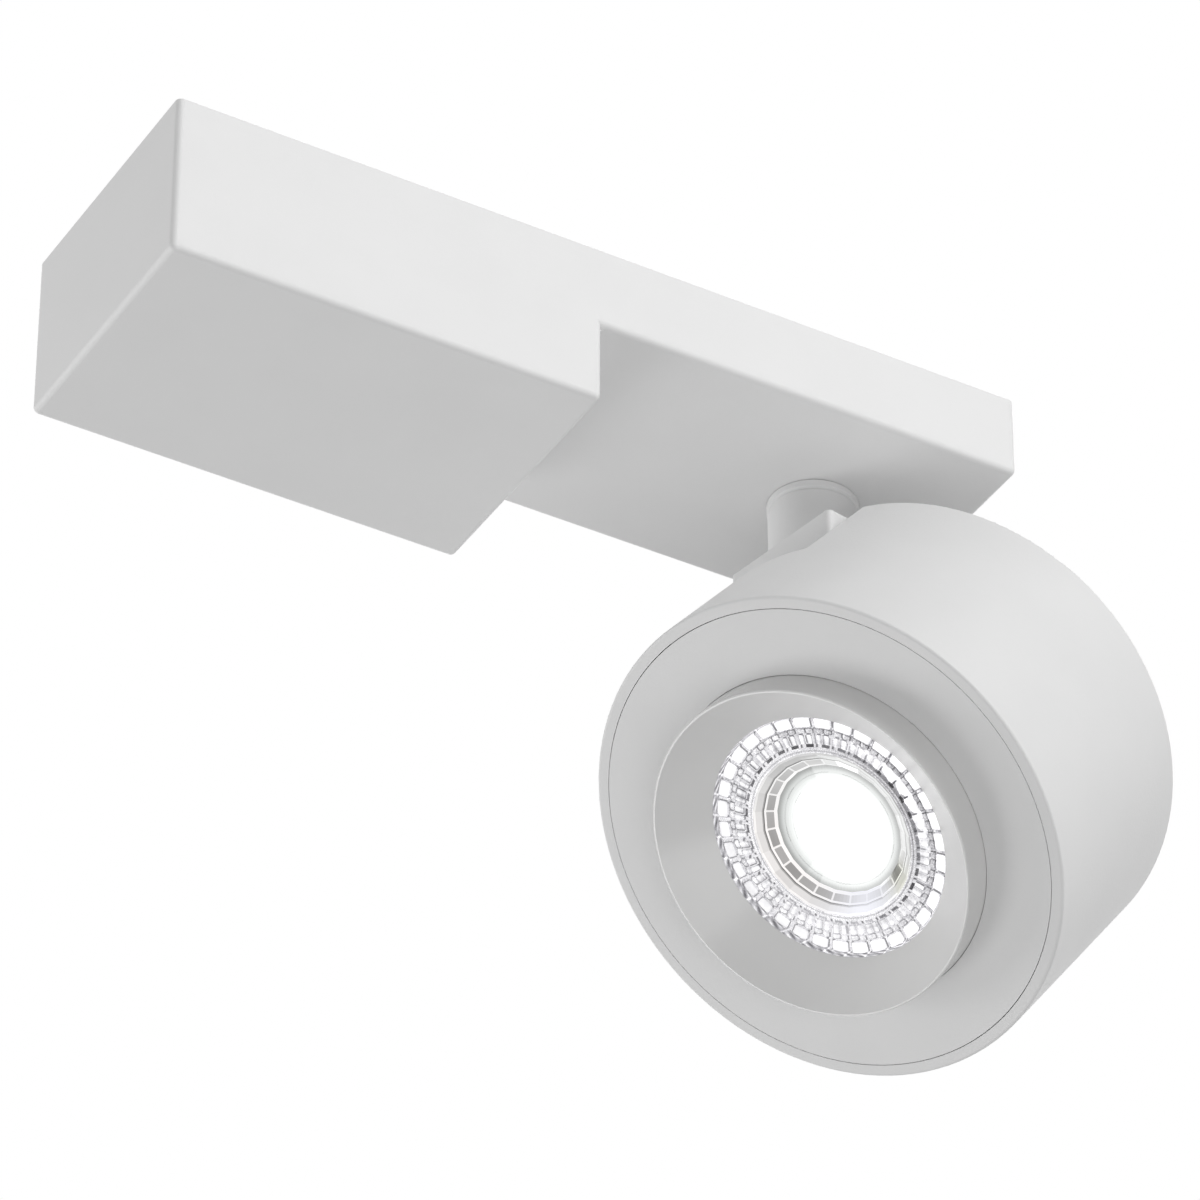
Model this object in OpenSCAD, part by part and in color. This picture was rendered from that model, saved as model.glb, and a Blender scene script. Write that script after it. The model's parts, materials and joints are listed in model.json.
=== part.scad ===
// Surface ceiling spot. A stepped base box holds the driver, a short swivel post turns
// under its thin half, and a drum-shaped lamp head tilts on the post's cross block.
// Millimetres. The ceiling is the plane z = 0, and the light hangs below it.

/* [Base housing] */
// Length of the base
base_len = 175; // [172:1:190]
// Width of the base
base_wid = 55; // [54:1:70]
// Length of the thick half, which grows where the driver needs more
thick_len = 86.5; // [85:0.5:92]
// Depth of the thick half below the ceiling
thick_drop = 34; // [33.5:0.5:44]
// Depth of the thin half below the ceiling
thin_drop = 17; // [16.5:0.5:20]
// Thickness of the folded sheet
sheet = 1.2; // [1:0.1:1.4]
// Outer radius of the folded edges
fold_r = 1.2; // [0.8:0.1:2]

/* [Mounting plate] */
// Thickness of the plate
plate_t = 1.5; // [1.2:0.1:1.8]
// Clearance between the plate and the housing's walls
plate_gap = 0.3; // [0.2:0.05:0.5]
// Distance between the two ceiling screws
slot_spacing = 150; // [144:1:154]
// End-to-end length of a screw slot
slot_len = 10; // [8:0.5:12]
// Width of a screw slot
slot_wid = 4.5; // [4:0.1:5.5]
// Distance of the cable entry from the swivel axis
cable_inset = 47; // [45:0.5:48.5]
// Radius of the cable entry hole
cable_hole_r = 7; // [6:0.25:8]
// Radius of the hole in the cable grommet
grommet_bore_r = 4.5; // [3.5:0.25:5]
// Distance between the housing screws along the base
cover_screw_spacing = 144; // [136:1:152]
// Depth of the housing screws below the ceiling
cover_screw_drop = 8; // [7:0.5:9]
// Width of the plate's folded tabs
tab_wid = 12; // [9:0.5:14]
// Radius of the housing screws
cover_screw_r = 1.5; // [1.25:0.05:1.75]

/* [Driver and terminals] */
// Length of the driver
driver_len = 78; // [70:1:80]
// Width of the driver
driver_wid = 40; // [34:1:46]
// Height of the driver's case without its cover
driver_case_h = 20; // [17:0.5:21]
// Thickness of the driver's cover
driver_cover_t = 2; // [1.5:0.25:2.5]
// Thickness of the adhesive pad under the driver
driver_pad_t = 1; // [0.8:0.1:1.5]
// Pitch of the poles in the terminal block
pole_pitch = 9; // [8:0.25:9.5]
// Length of the terminal block along its wires
terminal_len = 18; // [16:0.5:19]
// Height of the terminal block
terminal_h = 11; // [9:0.5:12]
// Radius of the earth stud
earth_stud_r = 2; // [1.75:0.05:2.25]
// Length of the earth stud
earth_stud_len = 8; // [7:0.5:9]

/* [Swivel] */
// Distance of the swivel axis from the thin end
pan_inset = 27.5; // [26:0.5:29]
// Direction that the head faces in the stored pose, from the base's length
pan_rest = -170.1; // [-178:0.1:-150]
// Radius of the collar under the base
collar_r = 8.65; // [8.2:0.05:9.5]
// Height of the collar
collar_h = 1.9; // [1.8:0.05:3]
// Depth of the shadow groove round the collar
collar_groove = 0.15; // [0.1:0.05:0.4]
// Radius of the swivel post
post_r = 8.45; // [8:0.05:9]
// Length of the post between the collar and the cross block
post_len = 10.3; // [9:0.05:14]
// Length of the cross block, from cheek to cheek
block_len = 27.5; // [24:0.5:29]
// Radius of the block's upright edges
block_edge_r = 1; // [0.3:0.1:1.5]
// Radius of the hollow spigot that turns in the collar
spigot_r = 5; // [4.5:0.1:5.5]
// Radius of the wire channel in the spigot and post
wire_r = 3; // [2:0.1:3.2]
// Radial clearance of every turning fit
run_fit = 0.05; // [0.03:0.01:0.1]
// Gap between faces that turn past each other
face_gap = 0.2; // [0.1:0.05:0.3]
// Pan angle, from the stored pose, at the middle of the blocked arc
stop_at = -100; // [-110:1:-95]
// Radius at which the stop pin stands
stop_r = 11.5; // [11.2:0.1:12.5]

/* [Tilt hinge] */
// Tilt of the head in the stored pose, from straight down
tilt_rest = 39.3; // [0:0.1:90]
// Distance from the drum's axis to the tilt axis
pivot_u = 35.2; // [34.5:0.1:35.6]
// Radius of the tilt axle
axle_r = 2; // [1.75:0.05:2.25]
// Gap between the cross block and each cheek of the notch
cheek_gap = 1.55; // [1.2:0.05:1.8]
// Distance from the tilt axis to the notch's floor and inner wall
notch_reach = 13.7; // [13:0.1:14.5]
// Radius of the notch's front corners
notch_corner_r = 1; // [0.5:0.25:4]
// Wall of the pocket behind the notch
pocket_wall = 2.2; // [1.8:0.1:2.4]
// Radius of the friction washers
tilt_washer_r = 6.5; // [5:0.1:7]

/* [Drum] */
// Outer radius of the drum at the front
drum_front_r = 47.34; // [47:0.01:50]
// Outer radius of the drum at the back
drum_back_r = 45.97; // [45.8:0.01:47]
// Depth of the drum
drum_depth = 48.85; // [47.5:0.05:54]
// Wall of the drum
drum_wall = 2.5; // [2.2:0.1:2.6]
// Radius of the drum's outer edges
drum_edge_r = 0.6; // [0.3:0.1:1]
// Radius of the flush front plate
front_r = 44.9; // [44.6:0.1:45.2]
// Thickness of the front plate
front_t = 2; // [1.6:0.1:2.4]
// Width of the seam round the front plate
seam = 0.15; // [0.1:0.05:0.4]

/* [Light engine] */
// Outer radius of the glare ring
ring_r = 32.1; // [31.5:0.1:34]
// How far the glare ring stands out of the front plate
ring_proud = 6.8; // [6:0.2:14]
// Wall of the glare ring at its lip
lip_wall = 0.7; // [0.6:0.1:2]
// Radius of the opening behind the glare ring's cone
throat_r = 23.7; // [23.2:0.05:24]
// Outer radius of the lens
lens_r = 23.8; // [22.5:0.1:23.9]
// Depth of the lens from front to back
lens_depth = 16.6; // [15:0.1:18]
// How far the lens lies behind the front plate's face
lens_inset = 1.2; // [0.9:0.1:1.5]
// Number of pillow facets round the lens
lens_facets = 34; // [28:1:48]
// Number of flat facets round the lens's bright middle
lens_core_facets = 24; // [18:1:36]
// Radius of the lens's bright middle, at the bottom of its bowl
lens_core_r = 12.6; // [11.5:0.1:13.5]
// Radius of the bowl in the lens's front
lens_bowl_r = 16.4; // [15.5:0.1:17]
// Depth of the bowl's bottom behind the lens's front
lens_bowl_depth = 3.6; // [2.6:0.1:4.2]
// Radius of the light source
led_r = 7; // [5:0.25:8]
// Thickness of the light source's board
board_t = 1.6; // [1.2:0.1:2]
// Thickness of the heat sink's base
sink_base_t = 4; // [3:0.25:5]
// Distance between heat sink fins
fin_pitch = 6; // [5:0.25:8]
// Thickness of a heat sink fin
fin_t = 1.6; // [1.2:0.1:2]

/* [Hidden] */
$fn = 96;
eps = 0.05;
// loose fit of screws and of pieces that never turn
loose = 0.2;
// gap that a seated piece keeps from its seat
seat_gap = 0.3;

// inside faces of the housing
in_x = base_len / 2 - sheet;
in_y = base_wid / 2 - sheet;
driver_end_gap = 1.5;
thick_run = max(thick_len, driver_len + 2 * (sheet + driver_end_gap));
step_x = -base_len / 2 + thick_run;
thick_floor = -thick_drop + sheet;
thin_floor = -thin_drop + sheet;
earth_inset = 10;
terminal_gap = 3;

// the swivel stack, from the housing's floor towards the ceiling
pan_x = base_len / 2 - pan_inset;
cable_x = pan_x - cable_inset;
shoulder_r = spigot_r + 1.5;
stop_washer_t = 1.5;
wave_h = 1.2;
wave_t = 0.8;
flat_washer_t = 1;
pan_nut_t = 3.6;
pan_nut_flats = 16;
stack_r = 8.6;
wave_z = thin_floor + face_gap + stop_washer_t;
nut_z = wave_z + wave_h + flat_washer_t;
spigot_top = nut_z + pan_nut_t + 0.8;
lug_wid = 2.5;
stop_pin_r = 1.25;

// the cross block is as thick as the post, and the tilt axis runs through its middle
block_half = post_r;
post_top = -thin_drop - collar_h - face_gap;
block_top = post_top - post_len;
pivot_drop = -block_top + block_half;
wire_exit_r = min(wire_r, 2.4);
wire_exit_z = -pivot_drop + axle_r + 0.6 + wire_exit_r;

// with the head straight down the block's top lies flush with the drum's back
pivot_t = drum_depth - block_half - face_gap;
notch_half = block_len / 2 + cheek_gap;
pocket_half = notch_half + pocket_wall;
axle_head_t = 2.1;
axle_head_r = axle_r + 1.2;

// the light engine, measured back from the front plate's face
bead_t = 2;
bead_r = front_r - 1;
lens_back = lens_inset + lens_depth;
lens_rim = 1.5;
led_t = 1.2;
led_gap = 0.6;
board_front = lens_back + led_gap + led_t;
sink_front = board_front + board_t;
sink_back = sink_front + sink_base_t;
ring_back = front_t + seat_gap;
ring_flange_t = 1.5;
ring_gap = 0.1;
holder_front = ring_back + ring_flange_t + seat_gap;
holder_wall = 2;
holder_in_r = lens_r + seat_gap;
holder_out_r = holder_in_r + holder_wall;
ear_at = holder_out_r + 4;
ear_t = 3;
ear_grip = sink_base_t - 1;
boss_r = 3.6;
boss_at = min(drum_front_r, drum_back_r) - drum_wall - boss_r + 1;
sink_r = boss_at + 2.6;
boss_angles = [60, 180, 300];
// the bosses stand on spots cut a little into the back of the heat sink's base
spot_depth = 0.4;
boss_front = sink_back - spot_depth;
sink_screw_r = 1.5;

// the drum's outer radius at a depth behind the front face
function drum_r(t) = drum_front_r + (drum_back_r - drum_front_r) * t / drum_depth;

// the swivel's own frame: X is the way the head faces, Y runs along the tilt axis
module at_swivel() {
    translate([pan_x, 0, 0])
        rotate([0, 0, pan_rest])
            children();
}

// the head's own frame: Z runs back from the front face, X points from the axis to the hinge
module at_head() {
    at_swivel()
        translate([0, 0, -pivot_drop])
            rotate([0, -tilt_rest, 0])
                translate([-pivot_u, 0, -pivot_t])
                    children();
}

module ring(outer, inner, height) {
    difference() {
        cylinder(r = outer, h = height);
        translate([0, 0, -1])
            cylinder(r = inner, h = height + 2);
    }
}

// a block with rounded upright edges, centred in X and Y, standing on z = 0
module bar(len, wid, height, edge_r) {
    linear_extrude(height)
        union() {
            square([len - 2 * edge_r, wid], center = true);
            square([len, wid - 2 * edge_r], center = true);
            for (x = [-1, 1], y = [-1, 1])
                translate([x * (len / 2 - edge_r), y * (wid / 2 - edge_r)])
                    circle(r = edge_r, $fn = 32);
        }
}

// a hexagon bar, by the distance across its flats, with flats facing X
module hexagon(flats, height) {
    rotate([0, 0, 30])
        cylinder(r = flats / sqrt(3), h = height, $fn = 6);
}

// a folded box that hangs from the ceiling between two places along the base
module folded_box(x0, x1, drop) {
    hull()
        for (x = [x0 + fold_r, x1 - fold_r], y = [-1, 1])
            translate([x, y * (base_wid / 2 - fold_r), -drop + fold_r]) {
                sphere(r = fold_r, $fn = 24);
                cylinder(r = fold_r, h = drop - fold_r, $fn = 24);
            }
}

// the inner round of the fold where the thin underside meets the step
module step_fold() {
    translate([step_x - eps, 0, -thin_drop + eps])
        rotate([90, 0, 0])
            linear_extrude(base_wid - 2 * fold_r, center = true)
                difference() {
                    translate([0, -fold_r - eps])
                        square(fold_r + eps);
                    translate([fold_r + eps, -fold_r - eps])
                        circle(r = fold_r, $fn = 48);
                }
}

module base_housing() {
    color("white")
        difference() {
            union() {
                folded_box(-base_len / 2, step_x, thick_drop);
                folded_box(step_x - 2 * fold_r - sheet, base_len / 2, thin_drop);
                step_fold();
            }
            translate([-in_x, -in_y, thick_floor])
                cube([thick_run - 2 * sheet, 2 * in_y, thick_drop]);
            translate([-in_x, -in_y, thin_floor])
                cube([2 * in_x, 2 * in_y, thin_drop]);
            translate([pan_x, 0, -thin_drop - 1])
                cylinder(r = shoulder_r, h = sheet + 2);
            for (x = [-1, 1])
                translate([x * cover_screw_spacing / 2, in_y - 1, -cover_screw_drop])
                    rotate([-90, 0, 0])
                        cylinder(r = cover_screw_r + loose, h = sheet + 2);
        }
}

module slot_cut() {
    run = slot_len - slot_wid;
    translate([0, 0, -plate_t - 1]) {
        for (x = [-1, 1])
            translate([x * run / 2, 0, 0])
                cylinder(r = slot_wid / 2, h = plate_t + 2);
        translate([-run / 2, -slot_wid / 2, 0])
            cube([run, slot_wid, plate_t + 2]);
    }
}

module mounting_plate() {
    plate_x = in_x - plate_gap;
    plate_y = in_y - plate_gap;
    color("silver")
        difference() {
            union() {
                translate([-plate_x, -plate_y, -plate_t])
                    cube([2 * plate_x, 2 * plate_y, plate_t]);
                for (x = [-1, 1], y = [-1, 1])
                    translate([x * cover_screw_spacing / 2, y * (plate_y - plate_t / 2), 0])
                        translate([-tab_wid / 2, -plate_t / 2, -cover_screw_drop - 3.5])
                            cube([tab_wid, plate_t, cover_screw_drop + 3]);
            }
            for (x = [-1, 1])
                translate([x * slot_spacing / 2, 0, 0])
                    slot_cut();
            translate([cable_x, 0, -plate_t - 1])
                cylinder(r = cable_hole_r, h = plate_t + 2);
            for (x = [-1, 1])
                translate([x * cover_screw_spacing / 2, 0, -cover_screw_drop])
                    rotate([-90, 0, 0])
                        cylinder(r = cover_screw_r + run_fit, h = base_wid / 2);
        }
}

module housing_screws() {
    head_r = 1.9 * cover_screw_r;
    head_t = 1.1 * cover_screw_r;
    shank = sheet + plate_gap + plate_t + 1.3 * cover_screw_r;
    color("white")
        for (x = [-1, 1])
            translate([x * cover_screw_spacing / 2, base_wid / 2, -cover_screw_drop])
                rotate([90, 0, 0]) {
                    translate([0, 0, -head_t])
                        cylinder(r1 = 0.75 * head_r, r2 = head_r, h = head_t);
                    cylinder(r = cover_screw_r, h = shank);
                }
}

module cable_grommet() {
    lip = 2;
    flange_t = 1.8;
    color("dimgray")
        translate([cable_x, 0, 0])
            rotate_extrude()
                polygon([
                    [grommet_bore_r, 0],
                    [cable_hole_r - run_fit, 0],
                    [cable_hole_r - run_fit, -plate_t],
                    [cable_hole_r + lip, -plate_t],
                    [cable_hole_r + lip - 0.6, -plate_t - flange_t],
                    [grommet_bore_r, -plate_t - flange_t]
                ]);
}

module at_earth() {
    translate([cable_x, base_wid / 2 - earth_inset, -plate_t])
        children();
}

module earth_stud() {
    color("silver")
        at_earth()
            translate([0, 0, -earth_stud_len])
                cylinder(r = earth_stud_r, h = earth_stud_len);
}

module earth_nut() {
    color("goldenrod")
        at_earth()
            translate([0, 0, -1 - 2 * earth_stud_r])
                difference() {
                    union() {
                        hexagon(3.5 * earth_stud_r, 2 * earth_stud_r + eps);
                        translate([0, 0, 2 * earth_stud_r])
                            cylinder(r = 2.3 * earth_stud_r, h = 1);
                    }
                    translate([0, 0, -1])
                        cylinder(r = earth_stud_r + run_fit, h = 2 * earth_stud_r + 3);
                }
}

module at_terminal() {
    translate([cable_x + cable_hole_r + terminal_gap + terminal_len / 2, 0, -plate_t])
        children();
}

module at_poles() {
    for (i = [-1, 0, 1])
        translate([0, i * pole_pitch, 0])
            children();
}

module terminal_block() {
    well_r = 2.3;
    color("ivory")
        at_terminal()
            translate([0, 0, -terminal_h])
                difference() {
                    at_poles()
                        translate([-terminal_len / 2, -pole_pitch / 2 - eps, 0])
                            cube([terminal_len, pole_pitch + 2 * eps, terminal_h]);
                    for (y = [-0.5, 0.5])
                        translate([-terminal_len / 2 - 1, y * pole_pitch - 0.5, -1])
                            cube([terminal_len + 2, 1, 3]);
                    at_poles() {
                        for (x = [-1, 1])
                            translate([x * terminal_len / 4, 0, -1])
                                cylinder(r = well_r, h = terminal_h / 2 + 1);
                        translate([-terminal_len / 2 - 1, 0, terminal_h / 2 + 1.6])
                            rotate([0, 90, 0])
                                cylinder(r = 1.9, h = terminal_len + 2);
                    }
                }
}

module terminal_screws() {
    color("silver")
        at_terminal()
            translate([0, 0, -terminal_h])
                at_poles()
                    for (x = [-1, 1])
                        translate([x * terminal_len / 4, 0, 1.2])
                            difference() {
                                cylinder(r = 1.9, h = terminal_h / 2 - 1.2);
                                translate([-3, -0.3, -1])
                                    cube([6, 0.6, 1.8]);
                            }
}

module at_driver() {
    translate([step_x - sheet - driver_end_gap - driver_len / 2, 0, thick_floor])
        children();
}

module driver_pad() {
    color("dimgray")
        at_driver()
            bar(driver_len - 8, driver_wid - 6, driver_pad_t, 1);
}

module driver_case() {
    wall = 1.6;
    color("whitesmoke")
        at_driver()
            translate([0, 0, driver_pad_t])
                difference() {
                    bar(driver_len, driver_wid, driver_case_h, 3);
                    translate([0, 0, driver_case_h - 5])
                        bar(driver_len - 2 * wall, driver_wid - 2 * wall, 6, 2);
                    for (x = [-1, 1], y = [-1, 0, 1])
                        translate([x * driver_len / 2, y * 7, driver_case_h - 8])
                            cube([6, 4, 3], center = true);
                }
}

module driver_cover() {
    plug_h = 3;
    inset = 1.6 + loose;
    color("gainsboro")
        at_driver()
            translate([0, 0, driver_pad_t + driver_case_h]) {
                bar(driver_len, driver_wid, driver_cover_t, 3);
                translate([0, 0, -plug_h])
                    bar(driver_len - 2 * inset, driver_wid - 2 * inset, plug_h + eps, 2);
            }
}

// the fixed collar: its shoulder fills the housing's hole, its groove makes the dark line
module swivel_collar() {
    bore = spigot_r + run_fit;
    edge = 0.5;
    color("white")
        translate([pan_x, 0, -thin_drop])
            rotate_extrude()
                polygon([
                    [bore, sheet],
                    [shoulder_r - run_fit, sheet],
                    [shoulder_r - run_fit, 0],
                    [collar_r - 0.6, 0],
                    [collar_r - 0.6, -collar_groove],
                    [collar_r, -collar_groove],
                    [collar_r, -collar_h + edge],
                    [collar_r - edge, -collar_h],
                    [bore, -collar_h]
                ]);
}

module stop_pin() {
    color("silver")
        translate([pan_x, 0, thin_floor])
            rotate([0, 0, pan_rest + stop_at])
                translate([stop_r, 0, 0])
                    cylinder(r = stop_pin_r, h = face_gap + stop_washer_t + 0.6, $fn = 48);
}

// one casting: hollow spigot, round post and the square cross block that carries the axle
module swivel_post() {
    color("lightgray")
        at_swivel()
            difference() {
                union() {
                    translate([0, 0, post_top - eps])
                        cylinder(r = spigot_r, h = spigot_top - post_top + eps);
                    translate([0, 0, block_top - eps])
                        cylinder(r = post_r, h = post_len + eps);
                    translate([0, 0, block_top - 2 * block_half])
                        bar(2 * block_half, block_len, 2 * block_half, block_edge_r);
                }
                translate([0, 0, wire_exit_z])
                    cylinder(r = wire_r, h = spigot_top - wire_exit_z + 1);
                translate([0, 0, wire_exit_z])
                    rotate([0, -90, 0])
                        cylinder(r = wire_exit_r, h = post_r + 1);
                translate([0, block_len / 2 + 1, -pivot_drop])
                    rotate([90, 0, 0])
                        cylinder(r = axle_r + run_fit, h = block_len + 2);
            }
}

module stop_washer() {
    color("silver")
        at_swivel()
            translate([0, 0, thin_floor + face_gap])
                difference() {
                    union() {
                        cylinder(r = stack_r, h = stop_washer_t);
                        translate([0, -lug_wid / 2, 0])
                            cube([stop_r + stop_pin_r, lug_wid, stop_washer_t]);
                    }
                    translate([0, 0, -1])
                        cylinder(r = spigot_r + run_fit, h = stop_washer_t + 2);
                }
}

module wave_washer() {
    color("gray")
        at_swivel()
            translate([0, 0, wave_z])
                rotate_extrude()
                    polygon([
                        [spigot_r + loose, wave_h - wave_t],
                        [stack_r - 0.4, 0],
                        [stack_r, 0],
                        [stack_r, wave_t],
                        [spigot_r + loose + 0.4, wave_h],
                        [spigot_r + loose, wave_h]
                    ]);
}

module pan_washer() {
    color("silver")
        at_swivel()
            translate([0, 0, wave_z + wave_h])
                ring(stack_r, spigot_r + run_fit, flat_washer_t);
}

module pan_nut() {
    color("silver")
        at_swivel()
            translate([0, 0, nut_z])
                difference() {
                    hexagon(pan_nut_flats, pan_nut_t);
                    translate([0, 0, -1])
                        cylinder(r = spigot_r + run_fit, h = pan_nut_t + 2);
                }
}

// lengths along the tilt axis are measured from the middle of the cross block
module at_axle(side) {
    at_head()
        translate([pivot_u, 0, pivot_t])
            rotate([-90 * side, 0, 0])
                children();
}

module tilt_axle() {
    color("silver")
        at_axle(-1) {
            translate([0, 0, -pocket_half - axle_head_t - 0.1])
                cylinder(r = axle_r, h = 2 * pocket_half + axle_head_t + 0.1);
            translate([0, 0, pocket_half])
                cylinder(r = axle_head_r, h = axle_head_t);
        }
}

module tilt_nut() {
    color("silver")
        at_axle(1)
            translate([0, 0, pocket_half])
                difference() {
                    hexagon(3.5 * axle_r, axle_head_t);
                    translate([0, 0, -1])
                        cylinder(r = axle_r + run_fit, h = axle_head_t + 2);
                }
}

module friction_washers() {
    color("dimgray")
        for (side = [-1, 1])
            at_axle(side)
                translate([0, 0, block_len / 2 + eps])
                    ring(tilt_washer_r, axle_r + run_fit, cheek_gap - 2 * eps);
}

// everything inside the drum's outer wall, behind the front plate
module drum_hollow() {
    rotate_extrude()
        polygon([
            [0, -1],
            [front_r + seam, -1],
            [front_r + seam, front_t],
            [bead_r, front_t],
            [bead_r, front_t + bead_t],
            [drum_r(front_t + bead_t) - drum_wall, front_t + bead_t],
            [drum_r(drum_depth) - drum_wall, drum_depth - drum_wall],
            [0, drum_depth - drum_wall]
        ]);
}

module drum_body() {
    round_r = drum_edge_r;
    rotate_extrude()
        union() {
            polygon([
                [0, 0],
                [drum_r(0) - round_r, 0],
                [drum_r(round_r), round_r],
                [drum_r(drum_depth - round_r), drum_depth - round_r],
                [drum_r(drum_depth) - round_r, drum_depth],
                [0, drum_depth]
            ]);
            translate([drum_r(round_r) - round_r, round_r])
                circle(r = round_r, $fn = 32);
            translate([drum_r(drum_depth - round_r) - round_r, drum_depth - round_r])
                circle(r = round_r, $fn = 32);
        }
}

// the space that the cross block turns in, open to the drum's side and back
module notch_space(grow) {
    half = notch_half + grow;
    floor_t = pivot_t - notch_reach - grow;
    corner = notch_corner_r + grow;
    translate([pivot_u - notch_reach - grow, 0, 0])
        rotate([90, 0, 90])
            linear_extrude(drum_front_r)
                union() {
                    translate([-half, floor_t + corner])
                        square([2 * half, drum_depth]);
                    translate([-half + corner, floor_t])
                        square([2 * (half - corner), drum_depth]);
                    for (y = [-1, 1])
                        translate([y * (half - corner), floor_t + corner])
                            circle(r = corner, $fn = 48);
                }
}

module at_bosses() {
    for (a = boss_angles)
        rotate([0, 0, a])
            translate([boss_at, 0, 0])
                children();
}

// tapered drum with a closed back, a front rebate, three screw bosses and the hinge pocket
module drum_housing() {
    color("white")
        at_head()
            difference() {
                union() {
                    difference() {
                        drum_body();
                        drum_hollow();
                    }
                    intersection() {
                        drum_body();
                        union() {
                            notch_space(pocket_wall);
                            at_bosses()
                                translate([0, 0, boss_front])
                                    cylinder(r = boss_r, h = drum_depth - boss_front - 1, $fn = 48);
                        }
                    }
                }
                notch_space(0);
                at_bosses()
                    translate([0, 0, boss_front - 1])
                        cylinder(r = sink_screw_r + run_fit, h = 9, $fn = 48);
                translate([pivot_u - notch_reach - pocket_wall - 1, 0, pivot_t])
                    rotate([0, 90, 0])
                        cylinder(r = wire_r + 0.5, h = pocket_wall + 2, $fn = 48);
                translate([pivot_u, pocket_half + 1, pivot_t])
                    rotate([90, 0, 0])
                        cylinder(r = axle_r + run_fit, h = 2 * pocket_half + 2, $fn = 48);
            }
}

module heat_sink() {
    fin_back = drum_depth - drum_wall - 1.5;
    fins = floor((sink_r - fin_t) / fin_pitch);
    fin_root = 1;
    hinge_clear = axle_head_r + 1;
    color("silver")
        at_head()
            difference() {
                union() {
                    translate([0, 0, sink_front])
                        cylinder(r = sink_r, h = sink_base_t);
                    intersection() {
                        translate([0, 0, sink_back - fin_root])
                            cylinder(r = sink_r - 2, h = fin_back - sink_back + fin_root);
                        for (i = [-fins:fins])
                            translate([-sink_r, i * fin_pitch - fin_t / 2, sink_back - fin_root])
                                cube([2 * sink_r, fin_t, fin_back - sink_back + fin_root]);
                    }
                }
                translate([0, 0, -sink_base_t])
                    notch_space(pocket_wall + seat_gap);
                translate([pivot_u - hinge_clear, -pocket_half - hinge_clear, sink_back])
                    cube([drum_back_r, 2 * (pocket_half + hinge_clear), drum_depth]);
                at_bosses() {
                    translate([0, 0, sink_front - 1])
                        cylinder(r = sink_screw_r + loose, h = sink_base_t + 2, $fn = 48);
                    translate([0, 0, boss_front])
                        cylinder(r = boss_r + 0.8, h = drum_depth, $fn = 48);
                }
                for (y = [-1, 1])
                    translate([0, y * ear_at, sink_front - 1])
                        cylinder(r = sink_screw_r + run_fit, h = 1 + ear_grip + 0.4, $fn = 48);
            }
}

// a cylinder-head screw whose head stands in front of a plate and whose shank goes back
module small_screw(front, shank) {
    head_t = 1.8;
    translate([0, 0, front - head_t])
        difference() {
            cylinder(r = sink_screw_r + 1.1, h = head_t, $fn = 48);
            translate([0, 0, -1])
                cylinder(r = 1, h = 2, $fn = 6);
        }
    translate([0, 0, front - eps])
        cylinder(r = sink_screw_r, h = shank + eps, $fn = 48);
}

module heat_sink_screws() {
    color("silver")
        at_head()
            at_bosses()
                small_screw(sink_front, sink_base_t + 6);
}

module led_board() {
    color("gainsboro")
        at_head()
            translate([0, 0, board_front])
                difference() {
                    cylinder(r = holder_in_r - 5, h = board_t);
                    for (y = [-1, 1])
                        translate([0, y * (holder_in_r - 5), -1])
                            cylinder(r = 1.7, h = board_t + 2, $fn = 48);
                }
}

module led_chip() {
    color("khaki")
        at_head()
            translate([0, 0, board_front - led_t])
                cylinder(r = led_r, h = led_t);
}

// the cup that carries the lens by its rim and is screwed to the heat sink
module lens_holder() {
    ledge = 1.2;
    ledge_at = lens_inset + lens_rim;
    color("whitesmoke")
        at_head()
            difference() {
                union() {
                    rotate_extrude()
                        polygon([
                            [holder_in_r, ledge_at],
                            [holder_in_r, holder_front],
                            [holder_out_r, holder_front],
                            [holder_out_r, sink_front],
                            [holder_out_r - holder_wall, sink_front],
                            [holder_out_r - holder_wall, ledge_at + 2 * ledge],
                            [lens_r - 0.6, ledge_at + ledge],
                            [lens_r - 0.6, ledge_at]
                        ]);
                    for (y = [-1, 1])
                        translate([0, y * ear_at, sink_front - ear_t])
                            cylinder(r = 4.2, h = ear_t, $fn = 48);
                }
                translate([0, 0, sink_front - ear_t - 1])
                    cylinder(r = holder_in_r, h = ear_t + 2);
                notch_space(pocket_wall + seat_gap);
                for (y = [-1, 1])
                    translate([0, y * ear_at, sink_front - ear_t - 1])
                        cylinder(r = sink_screw_r + loose, h = ear_t + 2, $fn = 48);
            }
}

module holder_screws() {
    color("silver")
        at_head()
            for (y = [-1, 1])
                translate([0, y * ear_at, 0])
                    small_screw(sink_front - ear_t, ear_t + ear_grip);
}

// The lens is one closed surface carried round its axis. Each row of its profile has a
// radius and a depth, and two heights of the pillows between its facet lines: how far they
// bulge outwards and forwards there. The rows run from the bottom of the bowl, over the
// front, the pillow blocks and the rim, and down the faceted side, to the dome of the
// pocket that covers the light source.
pillow_steps = 4;
lens_turn = lens_facets * pillow_steps;
annulus_t = lens_inset + 0.4;
core_t = lens_inset + lens_bowl_depth;
bowl_wid = lens_bowl_r - lens_core_r;
bowl_rise = core_t - annulus_t;
block_in_r = lens_r - 2.6;
rim_wid = 1;
pocket_r = led_r + 3;
pocket_tip = core_t + 2.2;
pocket_dome = 2.8;
pillow_h = 0.5;

// the bowl's wall, as shares of its width outwards and of its rise forwards: a ring of flat
// facets, a groove and a smooth cone
bowl_wall = [
    for (share = [[0, 0], [0.1, 0.1], [0.44, 0.42], [0.5, 0.5], [0.565, 0.57], [1, 0.94]])
        [lens_core_r + bowl_wid * share[0], core_t - bowl_rise * share[1], 0, 0]
];

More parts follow.
